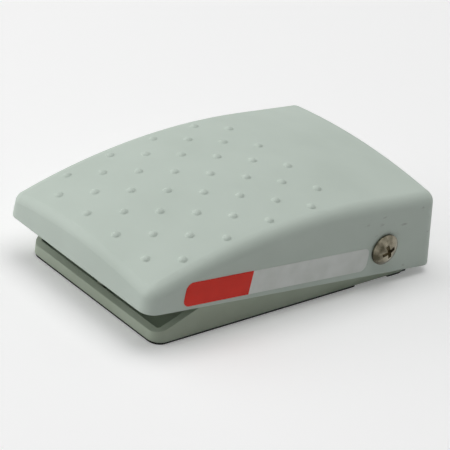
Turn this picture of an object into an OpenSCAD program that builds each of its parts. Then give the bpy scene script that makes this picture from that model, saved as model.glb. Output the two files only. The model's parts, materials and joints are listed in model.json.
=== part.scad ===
// Industrial foot switch: a crowned treadle cover hinged over a shallow base tray,
// with a return spring and a lever-operated snap switch between them.
// Millimetres. +Z is up, +X is the right side, the toe end is at -Y and the hinge end at +Y.
// The origin is the centre of the base's underside, on the surface that the switch stands on.

/* [Cover] */
// Width of the treadle cover
cover_w = 70.6; // [66:0.5:80]
// Length of the treadle cover
cover_len = 120.5; // [116:0.5:130]
// Height of the crown above the cover's lower edge, on the level rear part
cover_top_h = 28.2; // [26.5:0.1:34]
// Radius of the crown, the same across the width and along the sloping front part
crown_r = 218; // [200:1:300]
// Length of the level part of the top, at the hinge end
level_len = 33; // [28:0.5:40]
// Wall thickness of the cover
cover_wall = 2.2; // [1.8:0.1:2.6]
// Rounding of the cover's upper edges and upright corners
edge_r = 4.4; // [2.8:0.1:6]
// Rounding of the rear wall's lower edge
rear_foot_r = 2.6; // [1:0.1:4]
// Forward lean of the rear wall, in degrees
rear_lean = 12.5; // [0:0.5:15]
// Thickness of the ribs inside the cover
cover_rib_t = 2; // [1.5:0.1:3]

/* [Grip bumps] */
// Least distance from the toe edge to the first row
first_row_gap = 7; // [5:0.1:8]
// Least distance from the sides to the bumps
bump_side_gap = 6; // [4:0.1:8]
// Distance between rows, along the surface
bump_row_pitch = 8.54; // [6:0.01:9]
// Distance between bumps of one row
bump_column_pitch = 14.5; // [8:0.1:15]
// Distance from the last row to the start of the level part
last_row_gap = 14.2; // [8:0.1:18]
// Diameter of a bump at its foot
bump_w = 2.9; // [2:0.1:4]
// Height of a bump
bump_rise = 0.7; // [0.4:0.1:1]

/* [Base] */
// Gap between the tray's side walls and the cover's
side_gap = 1; // [0.9:0.05:1.5]
// Distance from the tray's rear wall to the cover's rear edge
rear_gap = 8.4; // [7:0.1:10]
// How far the cover's toe wall stands out beyond the tray when pressed
toe_overhang = 7.7; // [7:0.1:9]
// Thickness of the tray floor
floor_t = 1.6; // [1.4:0.1:2.4]
// Thickness of the tray walls
base_wall = 2.2; // [1.8:0.1:2.8]
// Plan radius of the tray corners
base_corner_r = 4.2; // [3:0.1:6]
// Plan radius of the tray corners inside
base_inner_r = 1; // [0.5:0.1:3]
// Height of the toe wall's top edge above the ground
toe_wall_h = 4.2; // [3.5:0.1:5]
// Rise of the side walls' top edge, in degrees
ramp_angle = 20.6; // [15:0.1:25]
// Height of the side walls beside the hinge
ear_h = 19.5; // [17:0.1:21]
// Height of the rear wall
rear_wall_h = 11; // [9:0.1:12]
// Thickness of the non-slip pads
pad_t = 0.9; // [0.6:0.1:1.5]
// Distance from the base's edge to the pads' edge
pad_inset = 0.4; // [0.2:0.1:1.5]
// Distance between the two pads
pad_gap = 13.8; // [10:0.1:30]
// Length of the rear pad
rear_pad_len = 8.4; // [6:0.1:12]

/* [Hinge] */
// Distance from the hinge axis to the cover's rear edge
hinge_to_rear = 25; // [22:0.1:26]
// Height of the hinge axis above the ground
hinge_h = 14.2; // [13.5:0.1:15]
// Height of the hinge axis above the cover's lower edge
cover_hinge_h = 9.1; // [8.5:0.1:10]
// Angle that the toe end is raised at rest, and the travel of the treadle
rest_angle = 5.7; // [4:0.1:6]
// Diameter of the hinge screws' shoulder
shoulder_d = 6; // [5:0.1:7]
// Diameter of the hinge screws' thread
thread_d = 5; // [4:0.1:5.5]
// Diameter of the hinge screws' head
hinge_head_d = 10.4; // [9:0.1:12]
// Height of the hinge screws' head
hinge_head_h = 2.5; // [2:0.1:4]
// Width of the cross recess's arms
recess_arm = 1.3; // [1:0.1:1.8]
// Width of the cross recess over its arms
recess_w = 5; // [4:0.1:6]
// Depth of the cross recess
recess_depth = 1.8; // [1:0.1:2.2]
// Turn of the cross recess from upright, in degrees
recess_turn = 22; // [0:1:45]
// Radial clearance of the shoulder in its bush
shoulder_play = 0.05; // [0.03:0.01:0.08]
// Side play between the screw's head and the cover
head_play = 0.25; // [0.2:0.05:0.5]
// Wall of the pivot bushes
bush_wall = 1.15; // [0.8:0.05:1.5]
// Width of the pivot bushes' flange beyond their barrel
bush_flange = 1.4; // [1:0.1:2]
// Length of the brass inserts
insert_len = 8.4; // [6:0.1:9]
// Wall of the brass inserts
insert_wall = 1.4; // [1:0.1:2]
// Plastic round the brass inserts
insert_boss_wall = 2.2; // [1.5:0.1:3]

/* [Return spring] */
// Distance from the base's toe edge to the spring
spring_setback = 24.8; // [22:0.1:27]
// Outer diameter of the coil
spring_d = 12; // [10:0.1:13]
// Diameter of the wire
wire_d = 1.3; // [1:0.1:1.6]
// Number of turns
spring_turns = 8; // [6:1:9]
// Height of the cover's spring seat above the cover's lower edge
spring_seat_h = 16.5; // [15.5:0.1:17]

/* [Snap switch] */
// Length of the snap switch's case
case_len = 27.8; // [27.5:0.1:29]
// Thickness of the case with its lid
case_t = 10.3; // [10:0.1:11]
// Height of the case
case_h = 15.9; // [15.5:0.1:16.2]
// Wall of the case
case_wall = 1.4; // [1.1:0.1:1.5]
// Thickness of the lid
lid_t = 1; // [0.8:0.1:1.2]
// Distance from the case's front end to the hinge axis
case_to_hinge = 32.8; // [32.3:0.1:33.3]
// Depth of the case's top below the crown when pressed
case_depth = 10.6; // [10.4:0.1:10.8]
// Distance from the case's edges to its mounting holes
hole_inset = 2.8; // [2.7:0.1:3]
// Diameter of the mounting screws
case_screw_d = 2.9; // [2.5:0.1:3]
// Thickness of the bracket that carries the case
bracket_t = 3; // [2.5:0.1:4]
// Diameter of the plunger
plunger_d = 2.4; // [2:0.1:2.6]
// Radial clearance of the plunger in its guide
plunger_play = 0.05; // [0.03:0.01:0.1]
// Distance from the lever's pin to the plunger
pin_to_plunger = 5; // [4.5:0.1:5.5]
// Distance from the lever's pin to the point that the treadle presses
pin_to_contact = 19.7; // [19:0.1:21]
// Diameter of the lever's pin
pin_d = 1.2; // [1:0.1:1.3]
// Radial clearance of the lever on its pin
pin_play = 0.05; // [0.03:0.01:0.08]
// Thickness of the lever
lever_t = 0.5; // [0.4:0.1:0.6]
// Width of the lever
lever_w = 4.6; // [4.4:0.1:5]
// Distance from the contact blade's pivot to the plunger
blade_to_plunger = 13; // [12:0.1:14]
// Gap kept between pieces that press on one another
touch_gap = 0.3; // [0.2:0.05:0.4]

/* [Treadle fittings] */
// Diameter of the adjusting screw
adjuster_d = 4; // [3:0.1:4.5]
// Width of the locknut across its flats
locknut_af = 7; // [6:0.1:8]
// Thickness of the locknut
locknut_t = 2; // [1.5:0.1:2.2]
// Diameter of the stop bumpers
bumper_d = 7; // [5:0.1:8]
// Height of the rear bumpers' top above the ground
rear_bumper_h = 12; // [11.5:0.1:12.5]
// Distance between the rear bumpers
rear_bumper_pitch = 36; // [30:0.5:40]
// Height of the toe bumper's top above the ground
toe_bumper_h = 6; // [5.8:0.1:6.5]
// Thickness of the side label
label_t = 0.15; // [0.1:0.05:0.3]
// Distance from the label to the hinge screw's head
label_gap = 1; // [0.5:0.1:20]
// Height of the side label
label_h = 8.1; // [6:0.1:8.5]
// Distance from the cover's toe edge to the label
label_setback = 13.7; // [10:0.1:15]
// Distance from the cover's lower edge to the label
label_rise = 1.2; // [0.8:0.1:1.5]

/* [Fixing and inlet] */
// Diameter of the four fixing holes
fixing_d = 4.5; // [3.5:0.1:5.5]
// Distance between the fixing holes across the base
fixing_pitch_x = 28; // [24:0.5:30]
// Distance from the rear fixing holes to the tray's rear edge
fixing_to_rear = 15.9; // [14:0.1:18]
// Distance from the base's toe edge to the first fixing holes
fixing_setback = 14; // [12:0.1:15]
// Diameter of the grommet's bore
inlet_d = 6.6; // [5:0.1:7]
// Wall of the grommet
grommet_wall = 1.6; // [1.2:0.1:2]
// Height of the inlet's centre above the tray floor
inlet_rise = 6.2; // [6:0.1:7]

/* [Hidden] */
$fn = 64;

eps = 0.01;               // overlap of shapes that are joined or cut
slack = 0.05;             // radial clearance of fixed round pieces in their seats
big = 400;                // larger than the whole switch
blend_step = 0.03;        // edge roundings stand this much proud, so that surfaces cross cleanly

base_w = cover_w - 2 * (cover_wall + side_gap);
cover_hinge_setback = cover_len - hinge_to_rear;        // from the cover's toe edge
hinge_setback = cover_hinge_setback - toe_overhang;     // from the tray's toe edge
base_len = hinge_setback + hinge_to_rear - rear_gap;
base_y0 = -base_len / 2;  // the base's toe edge
floor_z = pad_t + floor_t;
hinge_y = base_y0 + hinge_setback;
front_pad_len = base_len - 2 * pad_inset - rear_pad_len - pad_gap;
fixing_pitch_y = base_len - fixing_setback - fixing_to_rear;
label_len = cover_hinge_setback - hinge_head_d / 2 - label_gap - label_setback;

bush_d = shoulder_d + 2 * shoulder_play + 2 * bush_wall;
flange_play = 0.4;        // between the bushes' flanges and the tray
bush_flange_t = side_gap - flange_play;
insert_d = thread_d + 2 * insert_wall;
insert_boss_len = insert_len - base_wall + 0.8;
head_rim = 0.6;           // cylindrical edge under the screw head's dome
pad_corner_r = base_corner_r - pad_inset;
pad_end_r = 0.5;          // corners of the pads' facing ends
toe_bumper_d = 5;
toe_stem_d = 2.5;
stem_d = 3;
bumper_cap = 2;           // height of a bumper above its post
spring_base_z = floor_z + 0.6;
spring_post_d = 6.5;
spring_post_h = 4;
long_rib_z = 12;          // lower edge of the cover's long ribs, in the cover's frame
lead_way_w = 13;
lead_way_h = 5;
label_corner_r = 2.4;
label_tilt = 0.8;
grommet_d = inlet_d + 2 * grommet_wall;
grommet_lip = 0.9;
inlet_z = floor_z + inlet_rise;
floor_rib_x = 21;
floor_rib_len = 50;
gusset_w = 4.5;
switch_nut_t = 2.4;
terminal_x = -0.8;        // middle of the terminal tabs
terminal_t = 0.6;
terminal_w = 3;
tab_way = 0.4;            // space round a tab where it leaves the case
tab_hole_d = 1.2;
blade_rise = 9.8;         // from the case's underside to the blade
blade_w = 3.2;
blade_t = 0.3;
blade_hub_d = 0.9;
contact_d = 2.2;
contact_t = 0.7;          // thickness of the fixed contacts
contact_gap = 0.2;        // between the moving contact and a fixed one
moving_contact_h = 0.9;   // height of the moving contact each side of the blade
contact_offset = 4.4;     // from the plunger to the contacts
closed_leg_offset = 4;    // from the plunger to the closed terminal's leg
open_leg_offset = 1.2;    // from the plunger to the open terminal's leg
bypass_x = 2.4;           // where the closed terminal passes beside the blade
bypass_rise = 1.5;        // from the case's floor to the closed terminal's turn
plunger_collar = 0.8;
pan_d = 5.5;              // head of the switch's screws
pan_h = 2;
slot_w = 0.8;
pin_inset = 2.6;          // from the case's rear end to the lever's pin
pin_wall = 0.5;           // material round the lever's pin
ear_play = 0.2;           // between the lever and the case
pin_rise = pin_d / 2 + pin_wall + ear_play;
lug_w = lever_w - 2 * lever_t - 2 * ear_play;
adjuster_tip = 0.5;       // how far the screw's tip stands below its locknut
adjuster_skin = 1;        // plastic left over the adjusting screw

light_plastic = [0.76, 0.80, 0.75];
base_plastic = [0.62, 0.66, 0.60];
black_rubber = [0.12, 0.12, 0.12];
steel = [0.72, 0.71, 0.67];
brass = [0.80, 0.66, 0.32];
case_plastic = [0.16, 0.15, 0.15];

// ---- shapes used by several pieces ----

// A rounded rectangle from y = 0 to y = len, centred on x, with its own radius at each end
module plan_outline(w, len, r_front, r_rear) {
    translate([-w / 2, r_front]) square([w, len - r_front - r_rear]);
    translate([-w / 2 + r_front, 0]) square([w - 2 * r_front, len]);
    translate([-w / 2 + r_rear, r_front]) square([w - 2 * r_rear, len - r_front]);
    for (side = [-1, 1]) {
        translate([side * (w / 2 - r_front), r_front]) circle(r_front);
        translate([side * (w / 2 - r_rear), len - r_rear]) circle(r_rear);
    }
}

// A box centred on x and y that stands on z = 0
module block(size) {
    translate([-size.x / 2, -size.y / 2, 0]) cube(size);
}

// A cylinder along +X from x = 0
module rod_x(d, len) {
    rotate([0, 90, 0]) cylinder(h = len, d = d);
}

// A hexagon nut with its bore along Z
module hex_nut(across_flats, thickness, bore_d) {
    difference() {
        cylinder(h = thickness, d = across_flats / cos(30), $fn = 6);
        translate([0, 0, -1]) cylinder(h = thickness + 2, d = bore_d);
    }
}

// The same piece on the right and, mirrored, on the left
module both_sides() {
    children();
    mirror([1, 0, 0]) children();
}

// ---- the cover's own frame: y from its toe edge, z from its lower edge ----

arc_y = cover_len - level_len;          // where the curved front part meets the level part
crown_z = cover_top_h - crown_r;        // centre of the crown's arc
arc_len = crown_r * asin(arc_y / crown_r) * PI / 180;
bump_rows = floor((arc_len - last_row_gap - first_row_gap) / bump_row_pitch) + 1;
// Bumps in the longer rows; the rows between have one fewer
bump_columns = 2 * floor((cover_w / 2 - bump_side_gap) / bump_column_pitch) + 1;
to_base_y = hinge_y - cover_hinge_setback;
to_base_z = hinge_h - cover_hinge_h;

// Height of the cover's ceiling, at a distance y from the toe edge
function ceiling_z(y) =
    crown_z + sqrt(pow(crown_r - cover_wall, 2) - pow(max(arc_y - y, 0), 2));

// Places the cover's frame in the switch's frame, raised at the toe as at rest
module cover_frame() {
    translate([0, hinge_y, hinge_h]) rotate([-rest_angle, 0, 0])
        translate([0, -cover_hinge_setback, -cover_hinge_h]) children();
}

// The cross-section across the width: a crowned top with rounded shoulders, set in by inset.
// Its x is across the width and its y is height above the centre of the crown's arc.
module cross_section(inset) {
    half_w = cover_w / 2 - inset;
    arc_r = crown_r - inset;
    r = edge_r - inset;
    shoulder_x = half_w - r;
    shoulder_y = sqrt(pow(arc_r - r, 2) - pow(shoulder_x, 2));
    tangent_x = shoulder_x * arc_r / (arc_r - r);
    low_y = -crown_z - 3;
    translate([-half_w, low_y]) square([2 * half_w, shoulder_y - low_y]);
    for (side = [-1, 1]) translate([side * shoulder_x, shoulder_y]) circle(r);
    intersection() {
        circle(arc_r, $fn = 360);
        translate([-tangent_x, low_y]) square([2 * tangent_x, arc_r]);
    }
}

// The curved front part turns about a cross axis; the level part continues it straight back.
module crowned_bar(inset) {
    translate([0, arc_y, crown_z]) rotate([180, -90, 0])
        rotate_extrude(angle = 30, $fn = 360)
            rotate(-90) cross_section(inset);
    translate([0, cover_len + 10, crown_z]) rotate([90, 0, 0])
        linear_extrude(level_len + 10) cross_section(inset);
}

// Everything within the cover's outline, set in by inset, above the height low
module cover_form(inset, low) {
    w = cover_w - 2 * inset;
    r = edge_r - inset;
    intersection() {
        crowned_bar(inset);
        translate([0, inset, low]) linear_extrude(50) plan_outline(w, cover_len + 20, r, r);
        rear_wall_frame() translate([0, -cover_len - 20 - inset, -10]) linear_extrude(60)
            plan_outline(w, cover_len + 20, r, r);
    }
}

// The corner outside a rounding of radius r, between two directions given as [x, y]
module corner_cut(r, from, to) {
    reach = r + 4;
    difference() {
        polygon([[0, 0], reach * from, reach * (from + to), reach * to]);
        circle(r);
    }
}

// Turns an edge profile about a lengthwise axis at the height z: its x is outwards from the axis
module arched_edge(z) {
    translate([0, 0, z]) rotate([-90, 0, 0]) rotate([0, 0, -105])
        rotate_extrude(angle = 30, $fn = 360) children();
}

// Everything outside a ball, in the corner between three walls. From the ball's centre, x and y
// point out through two of the walls, and the third wall's normal leans out by the two angles.
module ball_corner_cut(lean_x, lean_y) {
    reach = 3 * edge_r;
    difference() {
        intersection() {
            translate([-reach, -reach, 0]) cube([2 * reach, 2 * reach, reach]);
            rotate([0, lean_x, 0]) translate([0, -reach, -reach]) cube(2 * reach);
            rotate([-lean_y, 0, 0]) translate([-reach, 0, -reach]) cube(2 * reach);
        }
        rotate([0, 0, 225]) sphere(edge_r);
    }
}

// Rounds the top edge over the toe wall. The ring is tangent to the wall and to the crown.
module toe_edge_cut() {
    ring_r = sqrt(pow(crown_r - edge_r, 2) - pow(arc_y - edge_r, 2));
    slope = atan2(arc_y - edge_r, ring_r);
    arched_edge(crown_z) translate([ring_r + blend_step, edge_r - blend_step])
        corner_cut(edge_r, [0, -1], [cos(slope), -sin(slope)]);
}

module toe_corner_cuts() {
    x = cover_w / 2 - edge_r;
    z = sqrt(pow(crown_r - edge_r, 2) - pow(x, 2) - pow(arc_y - edge_r, 2));
    both_sides() translate([x, edge_r, crown_z + z]) mirror([0, 1, 0])
        translate(blend_step * [1, 1, 1])
            ball_corner_cut(atan2(x, z), atan2(arc_y - edge_r, z));
}

// The leaning rear wall's frame: y out through the wall, z up along it
module rear_wall_frame() {
    translate([0, cover_len, 0]) rotate([rear_lean, 0, 0]) children();
}

rear_ring_r = (crown_r - edge_r) * cos(rear_lean);
rear_ring_top = (cover_top_h - edge_r + edge_r * sin(rear_lean)) / cos(rear_lean);

// Rounds the top edge over the rear wall, with a ring that leans as the wall does
module rear_edge_cut() {
    rear_wall_frame() arched_edge(rear_ring_top - rear_ring_r)
        translate([rear_ring_r + blend_step, -edge_r + blend_step])
            corner_cut(edge_r, [cos(rear_lean), sin(rear_lean)], [0, 1]);
}

module rear_corner_cuts() {
    x = cover_w / 2 - edge_r;
    z = rear_ring_top - rear_ring_r + sqrt(pow(rear_ring_r, 2) - pow(x, 2));
    crown_lean = asin(x / (crown_r - edge_r));
    rear_wall_frame() both_sides() translate([x, -edge_r, z] + blend_step * [1, 1, 1])
        ball_corner_cut(atan2(tan(crown_lean), cos(rear_lean)), rear_lean);
}

// Rounds the lower edge of the rear wall, all across
module rear_foot_cut() {
    r = rear_foot_r;
    rear_wall_frame() translate([-cover_w, -r, r * (1 + sin(rear_lean)) / cos(rear_lean)])
        rotate([90, 0, 90]) linear_extrude(2 * cover_w)
            corner_cut(r, [1, 0], [-sin(rear_lean), -cos(rear_lean)]);
}

// One dome for each grip bump, laid out by angle on the crown; every other row is a half step over
module grip_bumps() {
    dome_r = (pow(bump_w / 2, 2) + pow(bump_rise, 2)) / (2 * bump_rise);
    for (row = [0 : bump_rows - 1]) {
        along = (last_row_gap + row * bump_row_pitch) / crown_r * 180 / PI;
        count = (bump_rows - 1 - row) % 2 == 0 ? bump_columns - 1 : bump_columns;
        for (i = [0 : count - 1]) {
            across = (i - (count - 1) / 2) * bump_column_pitch / crown_r * 180 / PI;
            translate([0, arc_y, crown_z]) rotate([along, 0, 0]) rotate([0, across, 0])
                translate([0, 0, crown_r + bump_rise - dome_r]) rotate([90, 0, 0])
                    sphere(dome_r, $fn = 32);
        }
    }
}

// The base's frame seen from the cover's, at rest
module base_frame_at_rest() {
    translate([0, cover_hinge_setback, cover_hinge_h]) rotate([rest_angle, 0, 0])
        translate([0, -hinge_y, -hinge_h]) children();
}

spring_y = base_y0 + spring_setback;
toe_bumper_y = base_y0 + base_wall + toe_bumper_d / 2 + 0.3;
rear_bumper_y = base_y0 + base_len - base_wall - bumper_d / 2 - 0.7;
case_y0 = hinge_y - case_to_hinge;
case_top = to_base_z + cover_top_h - case_depth;
case_z0 = case_top - case_h;
pin_y = case_y0 + case_len - pin_inset;
pin_z = case_top + pin_rise;
contact_y = pin_y - pin_to_contact;
lever_z = pin_z + pin_d / 2 + pin_wall + ear_play;   // underside of the lever when fully pressed
lever_ratio = (hinge_y - contact_y) / pin_to_contact;
lever_angle = rest_angle * lever_ratio;
plunger_y = pin_y - pin_to_plunger;
plunger_travel = pin_to_plunger * tan(lever_angle);
blade_angle = atan(plunger_travel / blade_to_plunger);
adjuster_tip_z = lever_z + lever_t + touch_gap - to_base_z;
adjuster_y = contact_y - to_base_y;
spring_y_in_cover = spring_y - to_base_y;
// The cover's spring seat at rest: the lowest point of the tilted face under the coil
spring_seat_dy = spring_y_in_cover - cover_hinge_setback;
spring_seat_dz = spring_seat_h - cover_hinge_h;
spring_top_z = hinge_h - spring_seat_dy * sin(rest_angle) + spring_seat_dz * cos(rest_angle)
               - (spring_d / 2 + 1) * sin(rest_angle) - 0.1;
spring_y_at_rest = spring_y + 0.5;

// Ribs, stops and bosses under the cover's top, in the cover's frame
module cover_ribs() {
    rib_x = rear_bumper_pitch / 2;
    toe_stop_y = toe_bumper_y - to_base_y;
    rear_stop_y = rear_bumper_y - to_base_y;
    // Two long ribs, each with a drop at the rear that rests over a bumper
    for (side = [-1, 1]) translate([side * rib_x, 0, 0]) {
        translate([-cover_rib_t / 2, cover_wall + 10, long_rib_z])
            cube([cover_rib_t, cover_len - cover_wall - 10, cover_top_h]);
        difference() {
            translate([-cover_rib_t / 2, rear_stop_y - bumper_d / 2, 0])
                cube([cover_rib_t, bumper_d, cover_top_h]);
            base_frame_at_rest()
                translate([-big / 2, -big / 2, rear_bumper_h + touch_gap - big]) cube(big);
        }
    }
    // Cross ribs that tie the spring seat and the adjuster's boss to the long ribs
    for (rib = [[spring_y_in_cover, spring_seat_h], [adjuster_y, locknut_z + locknut_t]])
        translate([0, rib.x, rib.y]) block([2 * rib_x, cover_rib_t, cover_top_h]);
    // Spring seat with its locating post
    translate([0, spring_y_in_cover, spring_seat_h]) cylinder(h = cover_top_h, d = spring_d + 1);
    translate([0, spring_y_in_cover, spring_seat_h - spring_post_h])
        cylinder(h = cover_top_h, d = spring_post_d);
    // Boss for the adjusting screw
    translate([0, adjuster_y, locknut_z + locknut_t])
        cylinder(h = cover_top_h, d = adjuster_d + 5);
    // Toe stop, which meets the toe bumper when fully pressed
    translate([0, toe_stop_y, toe_bumper_h + touch_gap - to_base_z])
        block([toe_bumper_d, 3, cover_top_h]);
}

locknut_z = adjuster_tip_z + adjuster_tip;
adjuster_top_z = ceiling_z(adjuster_y) + cover_wall - adjuster_skin;

// ---- pieces of the treadle ----

module treadle_cover() color(light_plastic) cover_frame() difference() {
    union() {
        difference() {
            cover_form(0, 0);
            toe_edge_cut();
            toe_corner_cuts();
            rear_edge_cut();
            rear_corner_cuts();
            rear_foot_cut();
        }
        grip_bumps();
    }
    difference() {
        cover_form(cover_wall, -5);
        cover_ribs();
    }
    // Bores for the pivot bushes
    both_sides() translate([cover_w / 2 - cover_wall - 1, cover_hinge_setback, cover_hinge_h])
        rod_x(bush_d + 2 * slack, cover_wall + 2);
    // Threaded hole of the adjusting screw
    translate([0, adjuster_y, 0]) cylinder(h = adjuster_top_z, d = adjuster_d + 2 * slack);
    // Arched way for the lead through the rear wall
    translate([0, cover_len - 15, 0]) rotate([-90, 0, 0]) cylinder(h = 30, d = lead_way_w);
    translate([0, cover_len, lead_way_h]) rotate([90, 0, 0]) translate([0, 0, -15])
        cylinder(h = 30, d = lead_way_w);
    translate([0, cover_len, -1]) block([lead_way_w, 30, lead_way_h + 1]);
}

module side_label() color([0.92, 0.92, 0.90]) cover_frame()
    translate([cover_w / 2, label_setback, label_rise]) rotate([label_tilt, 0, 0])
        rotate([90, 0, 90]) linear_extrude(label_t)
            translate([0, label_h / 2]) rotate(-90)
                plan_outline(label_h, label_len, label_corner_r, label_corner_r);

// A flanged sleeve in each side wall, turning on the hinge screw's shoulder
module pivot_bushes() color([0.93, 0.92, 0.88]) cover_frame() both_sides()
    translate([cover_w / 2 - cover_wall, cover_hinge_setback, cover_hinge_h]) difference() {
        union() {
            rod_x(bush_d, cover_wall);
            translate([-bush_flange_t, 0, 0]) rod_x(bush_d + 2 * bush_flange, bush_flange_t);
        }
        translate([-2, 0, 0]) rod_x(shoulder_d + 2 * shoulder_play, cover_wall + 4);
    }

module adjusting_screw() color(steel) cover_frame()
    translate([0, adjuster_y, adjuster_tip_z]) {
        tip_r = adjuster_d * 0.8;
        intersection() {
            translate([0, 0, tip_r]) sphere(tip_r);
            cylinder(h = tip_r, d = adjuster_d);
        }
        translate([0, 0, 0.8])
            cylinder(h = adjuster_top_z - adjuster_tip_z - 1, d = adjuster_d);
    }

module adjuster_locknut() color(steel) cover_frame()
    translate([0, adjuster_y, locknut_z])
        hex_nut(locknut_af, locknut_t, adjuster_d + 2 * slack);

// ---- pieces of the base ----

// Outline of the tray's walls seen from the side: low at the toe, ramped, and level at the ears
module side_outline() {
    ramp_len = (ear_h - toe_wall_h) / tan(ramp_angle);
    ear_end = hinge_setback + insert_d / 2 + insert_boss_wall;
    polygon([[0, pad_t], [0, toe_wall_h], [ramp_len, ear_h], [ear_end - 4, ear_h],
             [base_len, rear_wall_h], [base_len, pad_t]]);
}

module base_plan(inset, r) {
    translate([0, base_y0 + inset, 0])
        plan_outline(base_w - 2 * inset, base_len - 2 * inset, r, r);
}

module base_shell() {
    intersection() {
        linear_extrude(50) base_plan(0, base_corner_r);
        translate([-base_w, base_y0, 0]) rotate([90, 0, 90]) linear_extrude(2 * base_w)
            side_outline();
    }
}

// A post that carries a bumper
module bumper_post(x, y, top_z, d) {
    translate([x, y, pad_t + eps]) cylinder(h = top_z - pad_t - eps, d = d);
}

module base_tray() color(base_plastic) difference() {
    union() {
        difference() {
            base_shell();
            translate([0, 0, floor_z]) linear_extrude(50) base_plan(base_wall, base_inner_r);
        }
        // Bosses that hold the brass inserts, each on a web down to the floor
        both_sides() translate([base_w / 2 - base_wall - insert_boss_len, hinge_y, 0]) {
            translate([0, 0, hinge_h]) rod_x(insert_d + 2 * insert_boss_wall, insert_boss_len + 1);
            translate([0, -(insert_d / 2 + insert_boss_wall), pad_t + eps])
                cube([insert_boss_len + 1, insert_d + 2 * insert_boss_wall, hinge_h - pad_t]);
        }
        // Posts for the three bumpers
        bumper_post(0, toe_bumper_y, toe_bumper_h - bumper_cap, toe_bumper_d + 1);
        for (side = [-1, 1])
            bumper_post(side * rear_bumper_pitch / 2, rear_bumper_y,
                        rear_bumper_h - bumper_cap, bumper_d + 1);
        // Spring seat with its locating post
        translate([0, spring_y, pad_t + eps]) {
            cylinder(h = spring_base_z - pad_t, d = spring_d + 1.5);
            cylinder(h = spring_base_z - pad_t + spring_post_h, d = spring_post_d);
        }
        // Bracket beside the snap switch, with two gussets
        translate([case_t / 2, case_y0, pad_t + eps])
            cube([bracket_t, case_len, case_top - pad_t]);
        for (y = [case_y0 + 9, case_y0 + 16])
            translate([case_t / 2 + bracket_t, y + 1, pad_t + eps]) rotate([90, 0, 0])
                linear_extrude(2) polygon([[-1, 0], [gusset_w, 0], [gusset_w, 3], [0, 15], [-1, 15]]);
        // Stiffening ribs along the floor
        for (side = [-1, 1])
            translate([side * floor_rib_x, base_y0 + base_wall - 1 + fixing_setback + 10, pad_t + eps])
                translate([-0.75, 0, 0]) cube([1.5, floor_rib_len, floor_t + 2]);
        // Inlet boss on the rear wall
        translate([0, base_y0 + base_len - base_wall, inlet_z]) rotate([-90, 0, 0])
            cylinder(h = base_wall, d = grommet_d + 4);
        translate([0, base_y0 + base_len - base_wall / 2, pad_t + eps])
            block([grommet_d + 4, base_wall, inlet_z - pad_t]);
    }
    // Seats of the brass inserts, right through the walls
    both_sides() translate([base_w / 2 - insert_len - 1, hinge_y, hinge_h])
        rod_x(insert_d + 2 * slack, insert_len + 2);
    // Holes for the stems of the bumpers
    translate([0, toe_bumper_y, pad_t - 1]) cylinder(h = 20, d = toe_stem_d + 2 * slack);
    for (side = [-1, 1]) translate([side * rear_bumper_pitch / 2, rear_bumper_y, pad_t - 1])
        cylinder(h = 20, d = stem_d + 2 * slack);
    // Holes for the switch's screws
    for (hole = case_holes) translate([case_t / 2 - 1, hole.x, hole.y])
        rod_x(case_screw_d + 4 * slack, bracket_t + 2);
    // Fixing holes
    for (x = [-1, 1], y = [0, 1])
        translate([x * fixing_pitch_x / 2, base_y0 + fixing_setback + y * fixing_pitch_y, 0])
            cylinder(h = 10, d = fixing_d);
    // Inlet
    translate([0, base_y0 + base_len - base_wall - 1, inlet_z]) rotate([-90, 0, 0])
        cylinder(h = base_wall + 2, d = grommet_d + 2 * slack);
}

module pad(y0, len, r_front, r_rear) {
    difference() {
        translate([0, y0, 0]) linear_extrude(pad_t)
            plan_outline(base_w - 2 * pad_inset, len, r_front, r_rear);
        for (x = [-1, 1], y = [0, 1])
            translate([x * fixing_pitch_x / 2, base_y0 + fixing_setback + y * fixing_pitch_y, -1])
                cylinder(h = 10, d = fixing_d + 5);
    }
}

module front_pad() color(black_rubber)
    pad(base_y0 + pad_inset, front_pad_len, pad_corner_r, pad_end_r);

module rear_pad() color(black_rubber)
    pad(base_y0 + base_len - pad_inset - rear_pad_len, rear_pad_len, pad_end_r, pad_corner_r);

module cord_grommet() color(black_rubber)
    translate([0, base_y0 + base_len - base_wall, inlet_z]) rotate([-90, 0, 0]) difference() {
        union() {
            translate([0, 0, -grommet_lip]) cylinder(h = grommet_lip, d = grommet_d + 2);
            cylinder(h = base_wall, d = grommet_d);
            translate([0, 0, base_wall]) cylinder(h = grommet_lip, d = grommet_d + 2);
        }
        translate([0, 0, -5]) cylinder(h = base_wall + 10, d = inlet_d);
    }

// Domed head with a cross recess, shoulder, and threaded end, with the axis on X
module hinge_screw() {
    dome_r = (pow(hinge_head_d / 2, 2) + pow(hinge_head_h - head_rim, 2))
             / (2 * (hinge_head_h - head_rim));
    head_x = cover_w / 2 + head_play;
    insert_face = base_w / 2;
    difference() {
        union() {
            translate([head_x, 0, 0]) rod_x(hinge_head_d, head_rim);
            translate([head_x + head_rim, 0, 0]) rotate([0, 90, 0]) intersection() {
                translate([0, 0, hinge_head_h - head_rim - dome_r]) sphere(dome_r, $fn = 96);
                cylinder(h = hinge_head_h, d = hinge_head_d);
            }
            translate([insert_face, 0, 0]) rod_x(shoulder_d, head_x - insert_face + eps);
            translate([insert_face - insert_len, 0, 0]) rod_x(thread_d, insert_len + eps);
        }
        translate([head_x + hinge_head_h - recess_depth, 0, 0]) rotate([recess_turn, 0, 0]) {
            translate([0, -recess_w / 2, -recess_arm / 2]) cube([big, recess_w, recess_arm]);
            translate([0, -recess_arm / 2, -recess_w / 2]) cube([big, recess_arm, recess_w]);
        }
    }
}

module hinge_screws() color(steel) both_sides() translate([0, hinge_y, hinge_h]) hinge_screw();

module hinge_inserts() color(brass) both_sides()
    translate([base_w / 2 - insert_len, hinge_y, hinge_h]) difference() {
        rod_x(insert_d, insert_len);
        translate([-1, 0, 0]) rod_x(thread_d + 2 * slack, insert_len + 2);
    }

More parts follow.
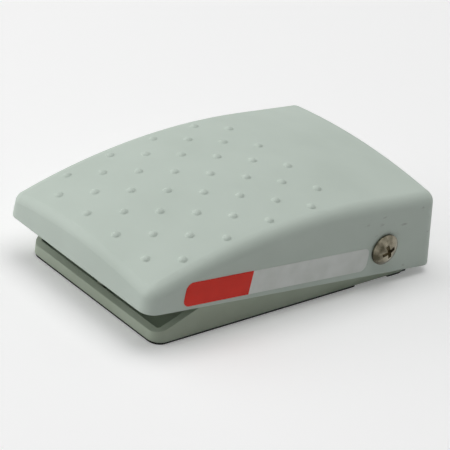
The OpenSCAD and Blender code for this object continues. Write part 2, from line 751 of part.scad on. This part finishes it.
// A rubber button with a stem down through its post
module bumper(top_z, d, shank_d) {
    translate([0, 0, top_z - bumper_cap]) cylinder(h = bumper_cap, d = d);
    translate([0, 0, pad_t]) cylinder(h = top_z - bumper_cap - pad_t + eps, d = shank_d);
}

module toe_bumper() color([0.45, 0.48, 0.45]) translate([0, toe_bumper_y, 0])
    bumper(toe_bumper_h, toe_bumper_d, toe_stem_d);

module rear_bumpers() color(black_rubber) for (side = [-1, 1])
    translate([side * rear_bumper_pitch / 2, rear_bumper_y, 0])
        bumper(rear_bumper_h, bumper_d, stem_d);

// A coil swept along a helix, with its ends closed down to flat turns
module return_spring() {
    coil_r = spring_d / 2 - wire_d / 2;
    steps = 18;
    sides = 8;
    rings = steps * spring_turns;
    z_low = spring_base_z + wire_d / 2;
    z_high = spring_top_z - wire_d / 2;
    // Height of the wire's centre after a given turn: the end turns rise only by the wire
    function wire_z(t) =
        t < 1 ? z_low + t * wire_d
        : t > spring_turns - 1 ? z_high - (spring_turns - t) * wire_d
        : z_low + wire_d + (t - 1) / (spring_turns - 2) * (z_high - z_low - 2 * wire_d);
    points = [for (i = [0 : rings], j = [0 : sides - 1])
        let (turn = i / steps, side = 360 * j / sides, r = coil_r + wire_d / 2 * cos(side))
        [r * cos(360 * turn), spring_y_at_rest + r * sin(360 * turn),
         wire_z(turn) + wire_d / 2 * sin(side)]];
    faces = concat(
        [for (i = [0 : rings - 1], j = [0 : sides - 1])
            let (a = i * sides + j, b = i * sides + (j + 1) % sides)
            [a, a + sides, b + sides, b]],
        [[for (j = [0 : sides - 1]) j]],
        [[for (j = [sides - 1 : -1 : 0]) rings * sides + j]]);
    color(steel) polyhedron(points, faces);
}

// ---- pieces of the snap switch ----

// Centres of the case's two mounting holes, as [y, z]
case_holes = [[case_y0 + hole_inset, case_top - hole_inset],
              [case_y0 + case_len - hole_inset, case_z0 + hole_inset]];
blade_z = case_z0 + blade_rise;
blade_pivot_y = plunger_y - blade_to_plunger;
contact_line_y = plunger_y + contact_offset;
contact_drop = (contact_line_y - blade_pivot_y) * tan(blade_angle);
terminal_bottom = floor_z + 0.5;
closed_leg_y = plunger_y - closed_leg_offset;
open_leg_y = plunger_y + open_leg_offset;

module terminal_slots() {
    for (y = [blade_pivot_y, closed_leg_y, open_leg_y])
        translate([terminal_x, y, case_z0 - 1])
            block([terminal_w + tab_way, terminal_t + tab_way, case_wall + 2]);
}

module switch_case() color(case_plastic) difference() {
    union() {
        difference() {
            translate([-case_t / 2 + lid_t, case_y0, case_z0])
                cube([case_t - lid_t, case_len, case_h]);
            translate([-case_t / 2 - 1, case_y0 + case_wall, case_z0 + case_wall])
                cube([case_t + 1 - case_wall, case_len - 2 * case_wall, case_h - 2 * case_wall]);
        }
        intersection() {
            for (hole = case_holes) translate([-case_t / 2 + lid_t, hole.x, hole.y])
                rod_x(case_screw_d + 2.6, case_t - lid_t);
            translate([-case_t / 2, case_y0, case_z0]) cube([case_t, case_len, case_h]);
        }
        // Lug for the lever's pin
        translate([0, pin_y, case_top - 1])
            block([lug_w, 2 * (pin_wall + pin_d / 2), pin_rise + 1]);
        translate([-lug_w / 2, pin_y, pin_z]) rod_x(pin_d + 2 * pin_wall, lug_w);
    }
    for (hole = case_holes) translate([-case_t, hole.x, hole.y])
        rod_x(case_screw_d + 4 * slack, 2 * case_t);
    translate([-case_t, pin_y, pin_z]) rod_x(pin_d + 2 * slack, 2 * case_t);
    translate([0, plunger_y, case_top - case_wall - 1])
        cylinder(h = case_wall + 2, d = plunger_d + 2 * plunger_play);
    terminal_slots();
}

module switch_lid() color([0.25, 0.24, 0.23]) difference() {
    translate([-case_t / 2, case_y0, case_z0]) cube([lid_t, case_len, case_h]);
    for (hole = case_holes) translate([-case_t, hole.x, hole.y])
        rod_x(case_screw_d + 4 * slack, case_t);
}

// A flat tab through the case's floor, up to the height top_z, with a solder hole
module terminal_leg(y, top_z) {
    difference() {
        translate([terminal_x, y, terminal_bottom])
            block([terminal_w, terminal_t, top_z - terminal_bottom]);
        translate([terminal_x, y - 1, terminal_bottom + 1.6]) rotate([-90, 0, 0])
            cylinder(h = 2, d = tab_hole_d);
    }
}

module common_terminal() color(brass) {
    terminal_leg(blade_pivot_y, blade_z - blade_hub_d / 2 - tab_way / 2);
}

module fixed_contact(z) {
    translate([0, contact_line_y, z]) cylinder(h = contact_t, d = contact_d);
}

// The lower contact, which the blade meets when the switch is pressed
module open_terminal() color(brass) {
    arm_z = blade_z - moving_contact_h - contact_drop - contact_gap - contact_t;
    terminal_leg(open_leg_y, arm_z);
    translate([terminal_x - terminal_w / 2, open_leg_y - terminal_t / 2, arm_z - terminal_t])
        cube([terminal_w, contact_line_y + contact_d / 2 - open_leg_y, terminal_t]);
    fixed_contact(arm_z - eps);
}

// The upper contact, which the blade rests against; its leg passes beside the blade
module closed_terminal() color(brass) {
    leg_y = closed_leg_y - terminal_t / 2;
    turn_z = case_z0 + case_wall + bypass_rise;
    arm_z = blade_z + moving_contact_h + contact_gap + contact_t;
    arm_end = contact_line_y + contact_d / 2;
    terminal_leg(closed_leg_y, turn_z);
    translate([terminal_x, leg_y, turn_z - terminal_t])
        cube([bypass_x + terminal_t - terminal_x, terminal_t, terminal_t]);
    translate([bypass_x, leg_y, turn_z - terminal_t])
        cube([terminal_t, 3 * terminal_t, arm_z + 2 * terminal_t - turn_z]);
    translate([bypass_x, leg_y, arm_z]) cube([terminal_t, arm_end - leg_y, terminal_t]);
    translate([-contact_d / 2, arm_end - contact_d, arm_z])
        cube([bypass_x + contact_d / 2 + eps, contact_d, terminal_t]);
    fixed_contact(arm_z - contact_t + eps);
}

module contact_blade() color([0.78, 0.62, 0.42]) {
    len = contact_line_y + contact_d / 2 - blade_pivot_y;
    translate([-blade_w / 2, blade_pivot_y, blade_z - blade_t / 2]) cube([blade_w, len, blade_t]);
    translate([-blade_w / 2, blade_pivot_y, blade_z]) rod_x(blade_hub_d, blade_w);
    translate([0, contact_line_y, blade_z - moving_contact_h])
        cylinder(h = 2 * moving_contact_h, d = contact_d);
}

module switch_plunger() color([0.75, 0.12, 0.10]) {
    tip_z = lever_z - touch_gap / 2 + plunger_travel;
    foot_z = blade_z + blade_t / 2 + touch_gap / 2;
    translate([0, plunger_y, 0]) {
        translate([0, 0, foot_z]) cylinder(h = tip_z - plunger_d / 2 - foot_z, d = plunger_d);
        translate([0, 0, tip_z - plunger_d / 2]) rotate([90, 0, 0]) sphere(plunger_d / 2);
        translate([0, 0, case_top - case_wall - plunger_travel - 0.1 - plunger_collar])
            cylinder(h = plunger_collar, d = plunger_d + 1);
    }
}

// Seen in its fully pressed place and turned up about its pin to the rest place
module switch_lever() color(steel) translate([0, pin_y, pin_z]) rotate([-lever_angle, 0, 0]) {
    strip_z = lever_z - pin_z;
    ear_w = pin_d + 2 * pin_wall;
    translate([-lever_w / 2, -pin_to_contact - 2.5, strip_z])
        cube([lever_w, pin_to_contact + 2.5 + ear_w / 2, lever_t]);
    for (side = [-1, 1]) difference() {
        translate([side * (lever_w / 2 - lever_t / 2), 0, 0]) union() {
            translate([-lever_t / 2, -ear_w / 2, 0]) cube([lever_t, ear_w, strip_z + lever_t]);
            translate([-lever_t / 2, 0, 0]) rod_x(ear_w, lever_t);
        }
        translate([-lever_w, 0, 0]) rod_x(pin_d + 2 * pin_play, 2 * lever_w);
    }
}

module lever_pin() color(steel)
    translate([-lever_w / 2 - 0.4, pin_y, pin_z]) rod_x(pin_d, lever_w + 0.8);

// Pan-head screws through the lid, the case and the bracket
module switch_screws() color(steel) for (hole = case_holes) translate([0, hole.x, hole.y]) {
    reach = bracket_t + switch_nut_t + 0.6;
    translate([-case_t / 2 - eps, 0, 0]) rod_x(case_screw_d, case_t + reach);
    difference() {
        translate([-case_t / 2 - pan_h, 0, 0]) rod_x(pan_d, pan_h);
        translate([-case_t / 2 - pan_h - 1, -pan_d, -slot_w / 2])
            cube([1 + pan_h / 2, 2 * pan_d, slot_w]);
    }
}

module switch_nuts() color(steel) for (hole = case_holes)
    translate([case_t / 2 + bracket_t, hole.x, hole.y]) rotate([0, 90, 0])
        hex_nut(5.5, switch_nut_t, case_screw_d + 2 * slack);

base_tray();
front_pad();
rear_pad();
cord_grommet();
hinge_screws();
hinge_inserts();
toe_bumper();
rear_bumpers();
return_spring();
switch_case();
switch_lid();
common_terminal();
open_terminal();
closed_terminal();
lever_pin();
switch_screws();
switch_nuts();
contact_blade();
switch_plunger();
switch_lever();
treadle_cover();
side_label();
pivot_bushes();
adjusting_screw();
adjuster_locknut();
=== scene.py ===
import json
import math

import bpy
from mathutils import Matrix, Vector


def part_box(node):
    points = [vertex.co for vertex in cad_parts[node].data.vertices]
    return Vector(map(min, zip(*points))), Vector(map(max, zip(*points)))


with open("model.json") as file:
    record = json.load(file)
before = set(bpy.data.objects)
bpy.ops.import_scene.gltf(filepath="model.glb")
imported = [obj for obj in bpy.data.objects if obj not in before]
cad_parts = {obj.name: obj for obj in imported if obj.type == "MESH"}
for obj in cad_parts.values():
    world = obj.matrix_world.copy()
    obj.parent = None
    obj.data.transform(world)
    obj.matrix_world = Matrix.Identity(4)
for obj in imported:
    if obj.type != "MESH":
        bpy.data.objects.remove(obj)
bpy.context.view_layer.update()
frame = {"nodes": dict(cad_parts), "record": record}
nodes = frame["nodes"]
mm = 0.001


def linearColour(hexCode):  # sRGB hex to the linear values that shaders take
    parts = [int(hexCode[i:i + 2], 16) / 255 for i in (1, 3, 5)]
    return tuple(p / 12.92 if p <= 0.04045 else ((p + 0.055) / 1.055) ** 2.4 for p in parts) + (1.0,)


def newMaterial(name):
    material = bpy.data.materials.new(name)
    material.use_nodes = True
    tree = material.node_tree
    tree.nodes.clear()
    return material, tree


def addNode(tree, kind, settings=None, inputs=None, links=None):
    node = tree.nodes.new(kind)
    for key, value in (settings or {}).items():
        setattr(node, key, value)
    for key, value in (inputs or {}).items():
        node.inputs[key].default_value = value
    for key, (source, output) in (links or {}).items():
        tree.links.new(source.outputs[output], node.inputs[key])
    return node


cameraLook = {  # millimetres and degrees
    "target": (1.95, -2.47, 15.0),
    "distance": 1024.5,
    "azimuth": 46.16,
    "elevation": 28.34,
    "roll": 8.98,
    "lens": 260.8,
    "sensor": 36,
    "clip": (0.05, 20),  # metres
}


def makeCamera(look):
    azimuth, elevation, roll = (math.radians(look[k]) for k in ("azimuth", "elevation", "roll"))
    back = Vector((
        math.sin(azimuth) * math.cos(elevation),
        -math.cos(azimuth) * math.cos(elevation),
        math.sin(elevation),
    ))
    level = Vector((0, 0, 1)).cross(back).normalized()
    upright = back.cross(level)
    right = level * math.cos(roll) + upright * math.sin(roll)
    up = back.cross(right)
    camera = bpy.data.objects.new("camera", bpy.data.cameras.new("camera"))
    bpy.context.scene.collection.objects.link(camera)
    turn = Matrix((right, up, back)).transposed().to_4x4()
    place = (Vector(look["target"]) + back * look["distance"]) * mm
    camera.matrix_world = Matrix.Translation(place) @ turn
    camera.data.lens = look["lens"]
    camera.data.sensor_width = look["sensor"]
    camera.data.clip_start, camera.data.clip_end = look["clip"]
    bpy.context.scene.camera = camera


makeCamera(cameraLook)
print("camera placed")


studioLook = {
    "lamps": {  # direction from the object, distance and size in metres, power in watts
        "overhead": ((0, 0, 1), 1.2, 1.2, 7.5),
        "frontLeftBroad": ((-0.7, -0.7, 0.5), 1.2, 2.0, 10.0),
        "lowFrontLeft": ((-0.6, -0.8, 0.15), 1.3, 0.9, 1.5),
        "rear": ((0, 1, 0.6), 1.2, 1.2, 1.5),
    },
    "worldLevel": 0.06,
    "floorSize": 4.0,
    "floorBounce": 0.88,  # how much light the floor gives back to the object
    "floorShown": 0.95,  # its colour to the camera and in reflections
    "floorLift": 0.2,
}


def shownDirectly(tree):  # 1 for camera, glossy and transmission rays, and 0 for the light on the object
    path = addNode(tree, "ShaderNodeLightPath")
    seen = addNode(tree, "ShaderNodeMath", {"operation": "MAXIMUM"},
                   links={0: (path, "Is Camera Ray"), 1: (path, "Is Glossy Ray")})
    return addNode(tree, "ShaderNodeMath", {"operation": "MAXIMUM"},
                   links={0: (seen, 0), 1: (path, "Is Transmission Ray")})


def makeStudio(look):
    for name, (direction, distance, size, power) in look["lamps"].items():
        toKey = Vector(direction).normalized()
        lamp = bpy.data.lights.new(name, "AREA")
        lamp.shape, lamp.size, lamp.energy = "DISK", size, power
        key = bpy.data.objects.new(name, lamp)
        key.location = toKey * distance
        key.rotation_mode = "QUATERNION"
        key.rotation_quaternion = toKey.to_track_quat("Z", "Y")
        bpy.context.scene.collection.objects.link(key)

    world = bpy.data.worlds.new("paleStudio")
    bpy.context.scene.world = world
    world.use_nodes = True
    tree = world.node_tree
    tree.nodes.clear()
    level = addNode(tree, "ShaderNodeMapRange", inputs={"To Min": look["worldLevel"], "To Max": 1.0},
                    links={"Value": (shownDirectly(tree), 0)})
    sky = addNode(tree, "ShaderNodeBackground", links={"Strength": (level, 0)})
    addNode(tree, "ShaderNodeOutputWorld", links={"Surface": (sky, 0)})


makeStudio(studioLook)


def makeFloor(look):
    mesh = bpy.data.meshes.new("floor")
    h = look["floorSize"] / 2
    mesh.from_pydata([(-h, -h, 0), (h, -h, 0), (h, h, 0), (-h, h, 0)], [], [(0, 1, 2, 3)])
    floor = bpy.data.objects.new("floor", mesh)
    bpy.context.scene.collection.objects.link(floor)
    material, tree = newMaterial("paperFloor")
    bounce = addNode(tree, "ShaderNodeBsdfDiffuse", inputs={"Color": (look["floorBounce"],) * 3 + (1,)})
    white = addNode(tree, "ShaderNodeBsdfDiffuse", inputs={"Color": (look["floorShown"],) * 3 + (1,)})
    lift = addNode(tree, "ShaderNodeEmission", inputs={"Color": (1, 1, 1, 1), "Strength": look["floorLift"]})
    shown = addNode(tree, "ShaderNodeAddShader", links={0: (white, 0), 1: (lift, 0)})
    mix = addNode(tree, "ShaderNodeMixShader",
                  links={0: (shownDirectly(tree), 0), 1: (bounce, 0), 2: (shown, 0)})
    addNode(tree, "ShaderNodeOutputMaterial", links={"Surface": (mix, 0)})
    mesh.materials.append(material)


makeFloor(studioLook)
bpy.context.scene.view_settings.view_transform = "Standard"
print("studio made")


def perMetre(size):  # texture scale that makes features of this size in millimetres
    return 1000 / size


# A finish in two close shades, with soft patches, a fine grain and slightly rounded edges.
# paint changes the colour, and relief adds to the bump.
def makeSurface(name, look, paint=None, relief=None):
    material, tree = newMaterial(name)
    place = addNode(tree, "ShaderNodeTexCoord")
    mapped = addNode(tree, "ShaderNodeMapping", inputs={"Scale": look.get("stretch", (1, 1, 1))},
                     links={"Vector": (place, "Object")})
    patches = addNode(tree, "ShaderNodeTexNoise", inputs={"Scale": perMetre(look["patch"]), "Detail": 3.0},
                      links={"Vector": (mapped, 0)})
    grain = addNode(tree, "ShaderNodeTexNoise", inputs={"Scale": perMetre(look["grain"]), "Detail": 2.0},
                    links={"Vector": (mapped, 0)})
    soft = addNode(tree, "ShaderNodeMapRange", inputs={"From Min": 0.35, "From Max": 0.65},
                   links={"Value": (patches, 0)})
    shade = addNode(tree, "ShaderNodeMix", {"data_type": "RGBA"},
                    {6: linearColour(look["colour"]), 7: linearColour(look["shade"])}, {0: (soft, 0)})
    colour = (shade, 2)
    if paint:
        colour = paint(tree, place, colour)
    low, high = look["rough"]
    rough = addNode(tree, "ShaderNodeMapRange",
                    inputs={"From Min": 0.3, "From Max": 0.7, "To Min": low, "To Max": high},
                    links={"Value": (patches, 0)})
    edge = addNode(tree, "ShaderNodeBevel", {"samples": 4}, {"Radius": look.get("edge", 0.25) * mm})
    bump = addNode(tree, "ShaderNodeBump", inputs={"Strength": 1.0, "Distance": look["depth"] * mm},
                   links={"Height": (grain, 0), "Normal": (edge, 0)})
    if relief:
        bump = relief(tree, place, bump)
    inputs = {"Metallic": look.get("metallic", 0.0)}
    if not look.get("metallic"):  # a metal keeps the default IOR
        inputs["IOR"] = look.get("ior", 1.5)
        inputs["Specular IOR Level"] = look.get("specular", 0.5)
    inputs.update(look.get("extra", {}))
    bsdf = addNode(tree, "ShaderNodeBsdfPrincipled", inputs=inputs,
                   links={"Base Color": colour, "Roughness": (rough, 0), "Normal": (bump, 0)})
    addNode(tree, "ShaderNodeOutputMaterial", links={"Surface": (bsdf, 0)})
    return material


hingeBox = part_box("hinge_screws")
hingeAxis = [(hingeBox[0][i] + hingeBox[1][i]) / 2 for i in range(3)]
coverPlace = {"tilt": 5.7, "hingeSetback": 95.5}  # degrees toe up at rest, and mm from toe edge to hinge


def lengthFromToe(tree, place):  # distance from the toe edge along the cover's own length, at rest
    tilt = math.radians(coverPlace["tilt"])
    along = addNode(tree, "ShaderNodeVectorMath", {"operation": "DOT_PRODUCT"},
                    {1: (0, math.cos(tilt), -math.sin(tilt))}, {0: (place, "Object")})
    atHinge = hingeAxis[1] * math.cos(tilt) - hingeAxis[2] * math.sin(tilt)
    offset = coverPlace["hingeSetback"] * mm - atHinge
    return addNode(tree, "ShaderNodeMath", {"operation": "ADD"}, {1: offset}, {0: (along, "Value")})


labelInk = {"redEnd": 40.0, "red": "#f02400", "white": "#eef2ee", "blend": 0.15}  # lengths in mm


def printLabel(tree, place, colour):  # a red panel at the toe end, plain white behind it
    length = lengthFromToe(tree, place)
    start, end = labelInk["redEnd"] * mm, labelInk["redEnd"] * mm + labelInk["blend"] * mm
    isWhite = addNode(tree, "ShaderNodeMapRange", inputs={"From Min": start, "From Max": end},
                      links={"Value": (length, 0)})
    ink = addNode(tree, "ShaderNodeMix", {"data_type": "RGBA"},
                  {6: linearColour(labelInk["red"]), 7: linearColour(labelInk["white"])}, {0: (isWhite, 0)})
    both = addNode(tree, "ShaderNodeMix", {"data_type": "RGBA", "blend_type": "MULTIPLY"}, {0: 1.0},
                   {6: (ink, 2), 7: colour})
    return both, 2


scuffs = {
    "size": 3.2,  # mm
    "squeeze": (1, 0.55, 1.4),
    "edge": 0.63,  # the higher, the fewer
    "fade": 0.08,
    "share": 0.5,
    "colour": "#8d9189",
    "sideFrom": (34.5, 35.2),  # mm from the middle, so that only the side walls have them
    "rearFrom": (22, 30),  # mm along Y
}


def scuffCover(tree, place, colour):  # a few faint rubbed marks on the side walls, towards the hinge
    squeezed = addNode(tree, "ShaderNodeMapping", inputs={"Scale": scuffs["squeeze"]},
                       links={"Vector": (place, "Object")})
    spots = addNode(tree, "ShaderNodeTexNoise", inputs={"Scale": perMetre(scuffs["size"]), "Detail": 4.0},
                    links={"Vector": (squeezed, 0)})
    level = scuffs["edge"]
    marks = addNode(tree, "ShaderNodeMapRange",
                    inputs={"From Min": level, "From Max": level + scuffs["fade"], "To Max": scuffs["share"]},
                    links={"Value": (spots, 0)})
    split = addNode(tree, "ShaderNodeSeparateXYZ", links={0: (place, "Object")})
    far = addNode(tree, "ShaderNodeMath", {"operation": "ABSOLUTE"}, links={0: (split, 0)})
    limits = []
    for source, output, (start, end) in ((far, 0, scuffs["sideFrom"]), (split, 1, scuffs["rearFrom"])):
        limits.append(addNode(tree, "ShaderNodeMapRange",
                              inputs={"From Min": start * mm, "From Max": end * mm},
                              links={"Value": (source, output)}))
    where = addNode(tree, "ShaderNodeMath", {"operation": "MULTIPLY"},
                    links={0: (limits[0], 0), 1: (limits[1], 0)})
    share = addNode(tree, "ShaderNodeMath", {"operation": "MULTIPLY"}, links={0: (where, 0), 1: (marks, 0)})
    mixed = addNode(tree, "ShaderNodeMix", {"data_type": "RGBA"}, {7: linearColour(scuffs["colour"])},
                    {0: (share, 0), 6: colour})
    return mixed, 2


latheRings = {"pitch": 0.5, "depth": 0.004}  # mm, drawn coarser than real so that they show


def turnedRings(tree, place, bump):  # lathe rings about the hinge axis
    fromAxis = addNode(tree, "ShaderNodeVectorMath", {"operation": "SUBTRACT"}, {1: tuple(hingeAxis)},
                       {0: (place, "Object")})
    flat = addNode(tree, "ShaderNodeVectorMath", {"operation": "MULTIPLY"}, {1: (0, 1, 1)},
                   {0: (fromAxis, 0)})
    radius = addNode(tree, "ShaderNodeVectorMath", {"operation": "LENGTH"}, links={0: (flat, 0)})
    phase = addNode(tree, "ShaderNodeMath", {"operation": "MULTIPLY"},
                    {1: 2 * math.pi * perMetre(latheRings["pitch"])}, {0: (radius, "Value")})
    wave = addNode(tree, "ShaderNodeMath", {"operation": "SINE"}, links={0: (phase, 0)})
    return addNode(tree, "ShaderNodeBump", inputs={"Strength": 1.0, "Distance": latheRings["depth"] * mm},
                   links={"Height": (wave, 0), "Normal": (bump, 0)})


# Each slot's finish: its material's name, its look, and what paints it or adds relief.
# patch, grain, depth and edge are in mm. Grains are drawn coarser than real so that they show.
finishes = {
    # ABS moulded in a fine spark-eroded tool: pale grey-green, an even satin without a sharp gloss
    "cover_plastic": ("mouldedAbsCover", {
        "colour": "#cad6cc", "shade": "#c6d2c8", "patch": 22, "grain": 0.9, "depth": 0.006,
        "rough": (0.5, 0.62), "edge": 0.4}, scuffCover, None),
    # the same ABS in a darker batch: slightly greener and a little rougher
    "base_plastic": ("mouldedAbsBase", {
        "colour": "#b9c4b2", "shade": "#b2bdaa", "patch": 14, "grain": 0.9, "depth": 0.008,
        "rough": (0.55, 0.7), "edge": 0.35}, None, None),
    # nitrile rubber, compression moulded: near black, dusty and dull
    "black_rubber": ("mouldedNitrileBlack", {
        "colour": "#1d1e1d", "shade": "#2a2b29", "patch": 3, "grain": 0.7, "depth": 0.03,
        "rough": (0.7, 0.85), "specular": 0.3}, None, None),
    # grey silicone rubber, moulded: soft and light
    "grey_rubber": ("mouldedSiliconeGrey", {
        "colour": "#a9b09f", "shade": "#98a08f", "patch": 2.5, "grain": 0.7, "depth": 0.02,
        "rough": (0.55, 0.7)}, None, None),
    # nickel-plated steel, turned, with fine rings: a darkened warm grey and dark brown patches, which are
    # painted reflection of dark surroundings and partly tarnish
    "nickel_steel": ("turnedNickelPlate", {
        # colour and shade here are painted reflection: the grey is darkened and the dark shade patches stand
        # where the plate would mirror dark surroundings
        "colour": "#a8a18e", "shade": "#4e4a3c", "patch": 4.2, "grain": 0.8, "depth": 0.004,
        "rough": (0.18, 0.34), "metallic": 1.0, "edge": 0.2}, None, turnedRings),
    # zinc-plated steel, barrel plated: cool grey, slightly cloudy
    "zinc_steel": ("barrelPlatedZinc", {
        "colour": "#c3c6c9", "shade": "#a3a8ad", "patch": 2, "grain": 0.5, "depth": 0.004,
        "rough": (0.25, 0.42), "metallic": 1.0, "edge": 0.15}, None, None),
    # music wire, drawn: dark steel with a film of oil
    "spring_steel": ("drawnMusicWire", {
        "colour": "#8b8d90", "shade": "#6d6f73", "patch": 2, "grain": 0.4, "depth": 0.004,
        "rough": (0.25, 0.38), "metallic": 1.0, "edge": 0.1}, None, None),
    # free-cutting brass, turned: yellow with a light tarnish
    "brass": ("turnedBrass", {
        "colour": "#d8b765", "shade": "#b18d45", "patch": 2.5, "grain": 0.5, "depth": 0.004,
        "rough": (0.25, 0.4), "metallic": 1.0, "edge": 0.15}, None, None),
    # phenolic, compression moulded: black with a faint flow mottle
    "case_plastic": ("mouldedPhenolicCase", {
        "colour": "#171615", "shade": "#241f1b", "patch": 3, "grain": 0.5, "depth": 0.004,
        "rough": (0.3, 0.45)}, None, None),
    # the same phenolic as a plate: a little browner and duller
    "lid_plastic": ("mouldedPhenolicLid", {
        "colour": "#2a2521", "shade": "#352c26", "patch": 3, "grain": 0.5, "depth": 0.004,
        "rough": (0.4, 0.55)}, None, None),
    # brass strip, stamped: flat yellow with rolling lines
    "terminal_brass": ("stampedBrassStrip", {
        "colour": "#dcc07a", "shade": "#c4a45c", "patch": 2, "grain": 0.4, "depth": 0.003,
        "rough": (0.22, 0.36), "metallic": 1.0, "stretch": (1, 1, 5)}, None, None),
    # beryllium copper strip, rolled: rosy, springy and bright
    "blade_copper": ("rolledBerylliumCopper", {
        "colour": "#dca27c", "shade": "#bd7f58", "patch": 2, "grain": 0.4, "depth": 0.003,
        "rough": (0.2, 0.34), "metallic": 1.0, "stretch": (1, 0.2, 1)}, None, None),
    # acetal, moulded red: waxy and smooth
    "plunger_plastic": ("mouldedAcetalRed", {
        "colour": "#b3261e", "shade": "#a11f18", "patch": 2, "grain": 0.5, "depth": 0.003,
        "rough": (0.3, 0.42), "ior": 1.48}, None, None),
    # printed polyester film: flat ink under a thin satin face
    "label_film": ("printedPolyesterFilm", {
        "colour": "#ffffff", "shade": "#f3f4f2", "patch": 9, "grain": 1.2, "depth": 0.003,
        "rough": (0.35, 0.45), "specular": 0.25, "edge": 0.1}, printLabel, None),
    # nylon, moulded in its natural colour: milky and slightly see-through
    "nylon": ("mouldedNylonNatural", {
        "colour": "#e9e5d8", "shade": "#ded9c9", "patch": 2.5, "grain": 0.5, "depth": 0.004,
        "rough": (0.35, 0.5), "extra": {"Subsurface Weight": 0.15, "Subsurface Scale": 0.001}}, None, None),
}

materials = {slotName: makeSurface(*finish) for slotName, finish in finishes.items()}
slotOf = {row["node"]: row["material_slot"] for row in frame["record"]["subparts"]}
for name, node in nodes.items():
    node.data.materials.clear()
    node.data.materials.append(materials[slotOf[name]])
print("materials made")
